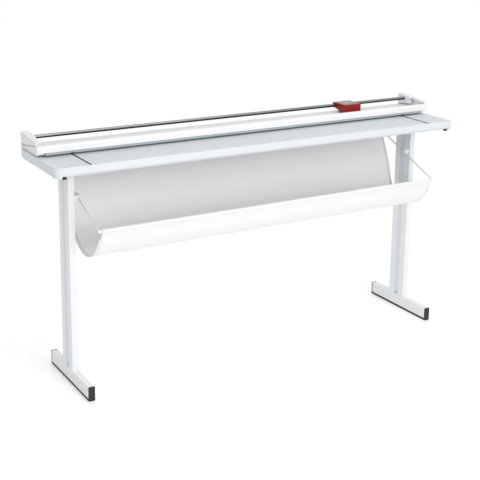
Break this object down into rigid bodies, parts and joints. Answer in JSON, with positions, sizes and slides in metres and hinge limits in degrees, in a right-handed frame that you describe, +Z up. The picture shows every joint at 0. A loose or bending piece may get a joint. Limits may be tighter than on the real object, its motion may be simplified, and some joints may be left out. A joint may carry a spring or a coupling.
{
  "type": "sliding paper trimmer",
  "caption": "Floor-standing sliding paper trimmer: a long bed with side lays, a sprung clamp strip, a round guide bar with a rotary cutter head, a leg stand and a cloth catch.",
  "frame": {"origin": "on the floor, under the middle of the overall box", "axes": "+X along the cut from the left end to the right end, +Y from the front edge to the blade side, +Z up"},
  "size_m": [1.836, 0.4136, 0.968],
  "materials": {
    "white_profile": "satin powder coat on extruded aluminium",
    "bed_grey": "matt grey coat",
    "galvanised_steel": "zinc-plated",
    "blade_steel": "ground",
    "chrome_bar": "ground and plated",
    "white_moulding": "fine grain",
    "white_casting": "satin powder coat on a casting",
    "black_plastic": "fine grain",
    "black_rubber": "matt",
    "clamp_tint": "tinted, slightly clear",
    "red_shell": "gloss",
    "grey_inset": "bare",
    "cast_aluminium": "as cast",
    "white_frame": "satin powder coat on steel",
    "strip_blue_grey": "extruded, fine grain",
    "white_wire": "powder-coated steel wire",
    "white_cloth": "plain woven nylon"
  },
  "bodies": {
    "frame": {"arm_clips": "white_moulding", "beam_spacers": "black_plastic", "bed_plate": "bed_grey", "bed_stiffeners": "galvanised_steel", "bench_feet": "black_rubber", "bracket_screws": "galvanised_steel", "catch_cloth": "white_cloth", "catch_front_rod": "white_wire", "catch_rear_rod": "white_wire", "catch_rod_knobs": "white_moulding", "clamp_beam": "white_profile", "clamp_springs": "galvanised_steel", "clip_screws": "galvanised_steel", "counter_blade": "blade_steel", "counter_blade_screws": "galvanised_steel", "front_profile": "white_profile", "guide_bar": "chrome_bar", "guide_bar_screws": "galvanised_steel", "left_beam_end_cap": "white_moulding", "left_catch_arm": "white_wire", "left_end_bracket": "white_casting", "left_end_cap": "white_moulding", "left_foot_plugs": "black_plastic", "left_foot_strip": "black_rubber", "left_foot_tube": "white_frame", "left_leg": "white_frame", "left_leg_cover_strips": "strip_blue_grey", "left_leg_top_plate": "white_frame", "left_side_lay": "black_plastic", "leg_foot_screws": "galvanised_steel", "rear_profile": "white_profile", "right_beam_end_cap": "white_moulding", "right_catch_arm": "white_wire", "right_end_bracket": "white_casting", "right_end_cap": "white_moulding", "right_foot_plugs": "black_plastic", "right_foot_strip": "black_rubber", "right_foot_tube": "white_frame", "right_leg": "white_frame", "right_leg_cover_strips": "strip_blue_grey", "right_leg_top_plate": "white_frame", "right_side_lay": "black_plastic", "top_plate_screws": "galvanised_steel"},
    "cutter_head": {"head_chassis": "cast_aluminium", "head_cover": "red_shell", "head_inset_plate": "grey_inset", "bar_bushes": "black_plastic", "head_glide": "black_plastic", "blade_axle": "galvanised_steel", "blade_guard": "red_shell", "blade_guard_screws": "galvanised_steel"},
    "blade": {"cutter_blade": "blade_steel", "blade_hub": "black_plastic"},
    "clamp": {"clamp_strip": "clamp_tint", "clamp_guide_pins": "galvanised_steel"}
  },
  "joints": [
    {"name": "head_slide", "type": "slide", "parent": "frame", "child": "cutter_head", "axis": [1, 0, 0], "range_m": [-1.385, 0.275]},
    {"name": "blade_spin", "type": "hinge", "parent": "cutter_head", "child": "blade", "pos_m": [0.588, 0.1983, 0.916], "axis": [0, 1, 0], "continuous": true},
    {"name": "clamp_press", "type": "slide", "parent": "frame", "child": "clamp", "axis": [0, 0, -1], "range_m": [0, 0.006], "stiffness_N_per_m": 2500, "springref_m": -0.006, "deforming": ["clamp_springs"]}
  ],
  "couplings": [
    {"joint": "blade_spin", "follows": "head_slide", "rad_per_m": 41.667}
  ]
}
